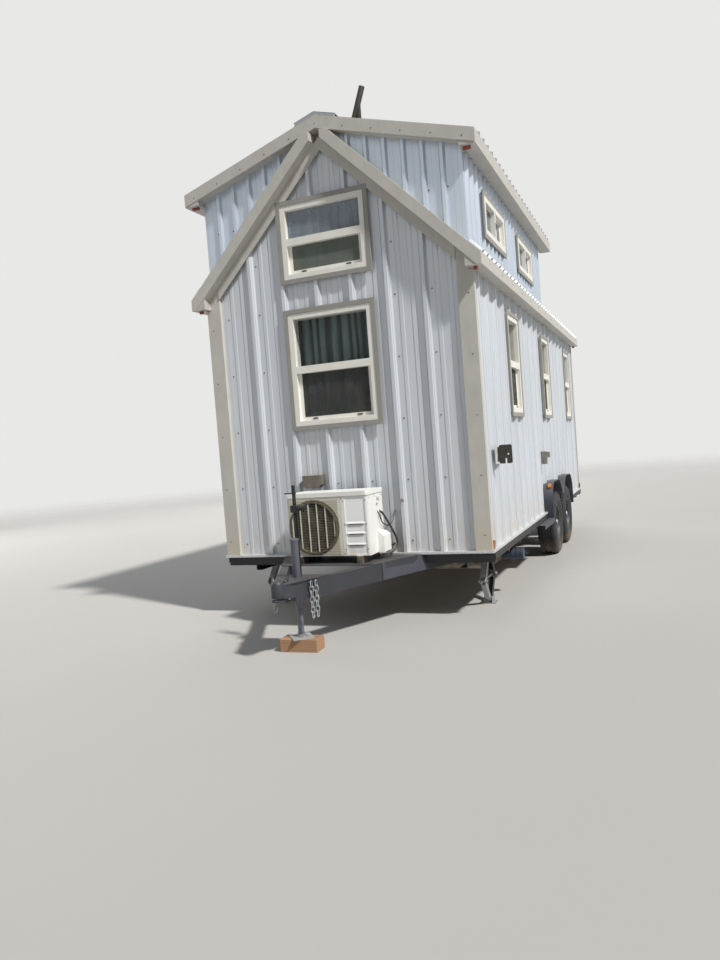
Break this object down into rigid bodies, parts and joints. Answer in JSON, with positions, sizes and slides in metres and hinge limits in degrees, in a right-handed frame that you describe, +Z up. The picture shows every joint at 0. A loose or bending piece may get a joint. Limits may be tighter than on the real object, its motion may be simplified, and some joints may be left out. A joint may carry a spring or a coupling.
{
  "type": "tiny house on wheels",
  "caption": "Narrow gabled cabin with a full-width dormer over its front half, clad in ribbed sheet metal, on a tandem-axle trailer with tongue jack and scissor stabilisers.",
  "frame": {"origin": "on the ground under the middle of the overall width and length", "axes": "+Z up, +Y from the tongue towards the rear along the house, +X to the right seen from the tongue"},
  "size_m": [2.5904, 7.5749, 4.5238],
  "materials": {
    "black_plastic": "black plastic",
    "block_wood": "worn sawn block",
    "curtain": "pleated grey-green cloth",
    "door": "painted steel door",
    "frame_paint": "dark slate paint on steel",
    "galvalume": "silvery coated ribbed sheet",
    "galvanised": "worn galvanised steel",
    "glass": "clear window glass",
    "grey_plastic": "brown-grey plastic",
    "lamp": "red and amber lens",
    "pipe_plastic": "tan drain pipe",
    "siding": "weathered blue-grey ribbed sheet",
    "timber": "spruce framing, closed with painted boards inside",
    "trim": "taupe-grey folded sheet",
    "tyre": "black rubber tyre on a painted rim",
    "vinyl": "cream vinyl",
    "white_paint": "white painted sheet steel",
    "white_plastic": "cream plastic"
  },
  "bodies": {
    "house": {"ac_case": "white_paint", "ac_guard": "white_plastic", "ac_lines": "black_plastic", "axles": "frame_paint", "base_flashing": "trim", "corner_trims": "trim", "coupler": "frame_paint", "cross_members": "frame_paint", "curtains": "curtain", "dormer_back_wall": "timber", "dormer_roof": "timber", "dormer_siding": "galvalume", "dormer_trims": "trim", "entry_door": "door", "fenders": "frame_paint", "floor_deck": "timber", "friezes": "trim", "front_wall": "timber", "gable_rakes": "timber", "inlet_hatch": "black_plastic", "jack_block": "block_wood", "jack_tube": "frame_paint", "junction_box": "grey_plastic", "left_roof": "timber", "left_wall": "timber", "main_rails": "frame_paint", "marker_lights": "lamp", "outlet_box": "grey_plastic", "plug_post": "frame_paint", "rear_wall": "timber", "ridge_caps": "galvalume", "right_roof": "timber", "right_wall": "timber", "roof_mast": "black_plastic", "roof_trims": "trim", "roofing": "galvalume", "rub_rails": "frame_paint", "safety_chains": "galvanised", "stabiliser_heads": "frame_paint", "tongue_deck": "frame_paint", "tongue_rails": "frame_paint", "wall_siding": "siding", "waste_pipe": "pipe_plastic", "window_casings": "vinyl", "window_frames": "vinyl", "window_panes": "glass"},
    "front_right_wheel": {"front_right_wheel": "tyre"},
    "front_left_wheel": {"front_left_wheel": "tyre"},
    "rear_right_wheel": {"rear_right_wheel": "tyre"},
    "rear_left_wheel": {"rear_left_wheel": "tyre"},
    "jack_leg": {"jack_leg": "galvanised"},
    "fan": {"ac_fan": "black_plastic"},
    "inlet_lid": {"inlet_lid": "black_plastic"},
    "stab_front_upper": {"stabiliser_front_upper_arms": "galvanised"},
    "stab_rear_upper": {"stabiliser_rear_upper_arms": "galvanised"},
    "stab_front_lower": {"stabiliser_front_lower_arms": "galvanised"},
    "stab_rear_lower": {"stabiliser_rear_lower_arms": "galvanised"},
    "stab_screw": {"stabiliser_screws": "galvanised"},
    "stab_nut": {"stabiliser_nuts": "galvanised"},
    "stab_foot": {"stabiliser_feet": "galvanised"}
  },
  "joints": [
    {"name": "front_right_wheel_spin", "type": "hinge", "parent": "house", "child": "front_right_wheel", "pos_m": [1.142, 0.7525, 0.36], "axis": [1, 0, 0], "continuous": true},
    {"name": "front_left_wheel_spin", "type": "hinge", "parent": "house", "child": "front_left_wheel", "pos_m": [-1.142, 0.7525, 0.36], "axis": [1, 0, 0], "continuous": true},
    {"name": "rear_right_wheel_spin", "type": "hinge", "parent": "house", "child": "rear_right_wheel", "pos_m": [1.142, 1.6425, 0.36], "axis": [1, 0, 0], "continuous": true},
    {"name": "rear_left_wheel_spin", "type": "hinge", "parent": "house", "child": "rear_left_wheel", "pos_m": [-1.142, 1.6425, 0.36], "axis": [1, 0, 0], "continuous": true},
    {"name": "jack_leg_slide", "type": "slide", "parent": "house", "child": "jack_leg", "axis": [0, 0, 1], "range_m": [0, 0.19]},
    {"name": "fan_spin", "type": "hinge", "parent": "house", "child": "fan", "pos_m": [-0.105, -2.8295, 0.798], "axis": [0, 1, 0], "continuous": true},
    {"name": "inlet_lid_hinge", "type": "hinge", "parent": "house", "child": "inlet_lid", "pos_m": [1.198, -2.1375, 1.25], "axis": [0, 0, 1], "range_deg": [0, 90]},
    {"name": "stabiliser_fold", "type": "hinge", "parent": "house", "child": "stab_front_upper", "pos_m": [0, -1.9245, 0.4008], "axis": [-1, 0, 0], "range_deg": [0, 40]},
    {"name": "front_lower_fold", "type": "hinge", "parent": "stab_front_upper", "child": "stab_front_lower", "pos_m": [0, -2.0805, 0.218], "axis": [-1, 0, 0], "range_deg": [-81, 1]},
    {"name": "screw_level", "type": "hinge", "parent": "stab_front_upper", "child": "stab_screw", "pos_m": [0, -2.0805, 0.218], "axis": [-1, 0, 0], "range_deg": [-41, 1]},
    {"name": "foot_level", "type": "hinge", "parent": "stab_front_lower", "child": "stab_foot", "pos_m": [0, -1.9245, 0.0352], "axis": [-1, 0, 0], "range_deg": [-1, 41]},
    {"name": "rear_upper_fold", "type": "hinge", "parent": "house", "child": "stab_rear_upper", "pos_m": [0, -1.8705, 0.4008], "axis": [-1, 0, 0], "range_deg": [-41, 1]},
    {"name": "rear_lower_fold", "type": "hinge", "parent": "stab_rear_upper", "child": "stab_rear_lower", "pos_m": [0, -1.7145, 0.218], "axis": [-1, 0, 0], "range_deg": [-1, 81]},
    {"name": "nut_level", "type": "hinge", "parent": "stab_rear_upper", "child": "stab_nut", "pos_m": [0, -1.7145, 0.218], "axis": [-1, 0, 0], "range_deg": [-1, 41]}
  ],
  "couplings": [
    {"joint": "front_lower_fold", "follows": "stabiliser_fold", "ratio": -2},
    {"joint": "screw_level", "follows": "stabiliser_fold", "ratio": -1},
    {"joint": "foot_level", "follows": "stabiliser_fold", "ratio": 1},
    {"joint": "rear_upper_fold", "follows": "stabiliser_fold", "ratio": -1},
    {"joint": "rear_lower_fold", "follows": "stabiliser_fold", "ratio": 2},
    {"joint": "nut_level", "follows": "stabiliser_fold", "ratio": 1}
  ]
}
